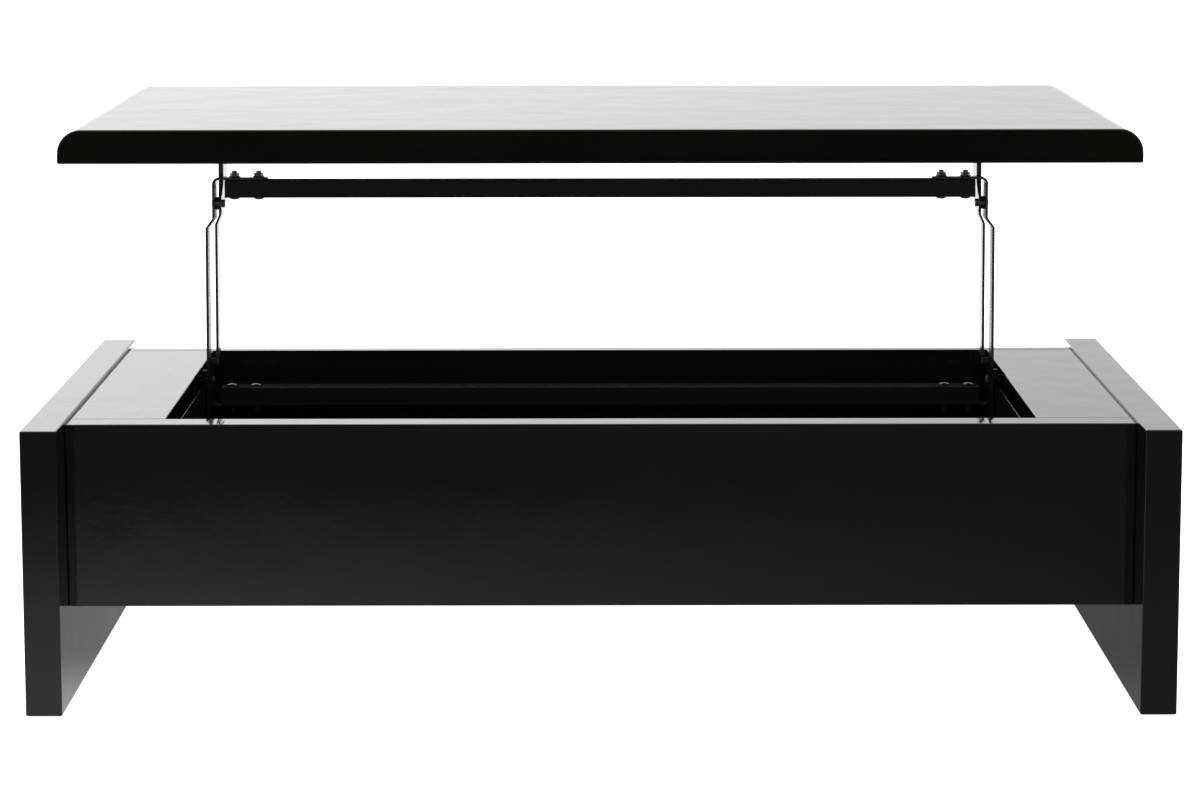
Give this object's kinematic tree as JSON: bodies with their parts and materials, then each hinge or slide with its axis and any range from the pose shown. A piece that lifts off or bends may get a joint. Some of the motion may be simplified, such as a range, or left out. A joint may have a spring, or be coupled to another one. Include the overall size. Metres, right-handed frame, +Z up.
{
  "type": "lift top coffee table",
  "caption": "Low table on slab legs with a storage box and a full-size lid that swings up on a linked-arm lift, shown raised.",
  "frame": {"origin": "on the floor, under the middle of the whole outline with the lid raised", "axes": "+Z up, +X to the right along the table's length, +Y away from the front panel, the way the lid moves as it rises"},
  "size_m": [1.2, 0.8682, 0.589],
  "materials": {
    "lacquer": "black piano lacquer, high gloss",
    "interior": "black lacquer, satin to gloss, inside the box",
    "black_steel": "black powder coat, semi-gloss",
    "dark_zinc": "black zinc plated, satin",
    "raw_wood": "bare softwood, planed",
    "rubber": "matt black rubber",
    "glide": "black moulded plastic"
  },
  "bodies": {
    "base": {"left_leg": "lacquer", "right_leg": "lacquer", "leg_glides": "glide", "leg_inserts": "dark_zinc", "leg_bolts": "dark_zinc", "front_panel": "lacquer", "back_panel": "lacquer", "left_end_panel": "interior", "right_end_panel": "interior", "left_partition": "interior", "right_partition": "interior", "bottom_panel": "interior", "bottom_cleats": "interior", "bottom_screws": "dark_zinc", "corner_blocks": "raw_wood", "block_screws": "dark_zinc", "left_side_top": "lacquer", "right_side_top": "lacquer", "side_top_dowels": "raw_wood", "left_base_bracket": "black_steel", "right_base_bracket": "black_steel", "base_bracket_screws": "dark_zinc", "lower_pivot_pins": "dark_zinc", "lower_spacers": "dark_zinc"},
    "front_arms": {"left_front_arm": "black_steel", "right_front_arm": "black_steel", "upper_cross_tube": "black_steel", "upper_tube_bolts": "dark_zinc", "upper_tube_nuts": "dark_zinc", "stop_studs": "rubber"},
    "rear_arms": {"left_rear_arm": "black_steel", "right_rear_arm": "black_steel", "lower_cross_tube": "black_steel", "lower_tube_bolts": "dark_zinc", "lower_tube_nuts": "dark_zinc"},
    "lid": {"lid_board": "lacquer", "left_lid_bracket": "black_steel", "right_lid_bracket": "black_steel", "lid_bracket_screws": "dark_zinc", "upper_pivot_bolts": "dark_zinc", "upper_pivot_nuts": "dark_zinc", "upper_spacers": "dark_zinc", "lid_bumpers": "rubber"}
  },
  "joints": [
    {"name": "lift", "type": "hinge", "parent": "base", "child": "front_arms", "pos_m": [0, -0.00413, 0.2284], "axis": [1, 0, 0], "range_deg": [0, 90]},
    {"name": "lid_level", "type": "hinge", "parent": "front_arms", "child": "lid", "pos_m": [0, 0.00948, 0.48804], "axis": [1, 0, 0], "range_deg": [-90, 0]},
    {"name": "rear_lift", "type": "hinge", "parent": "base", "child": "rear_arms", "pos_m": [0, 0.02487, 0.2764], "axis": [1, 0, 0], "range_deg": [0, 90]}
  ],
  "couplings": [
    {"joint": "lid_level", "follows": "lift", "ratio": -1},
    {"joint": "rear_lift", "follows": "lift", "ratio": 1}
  ]
}
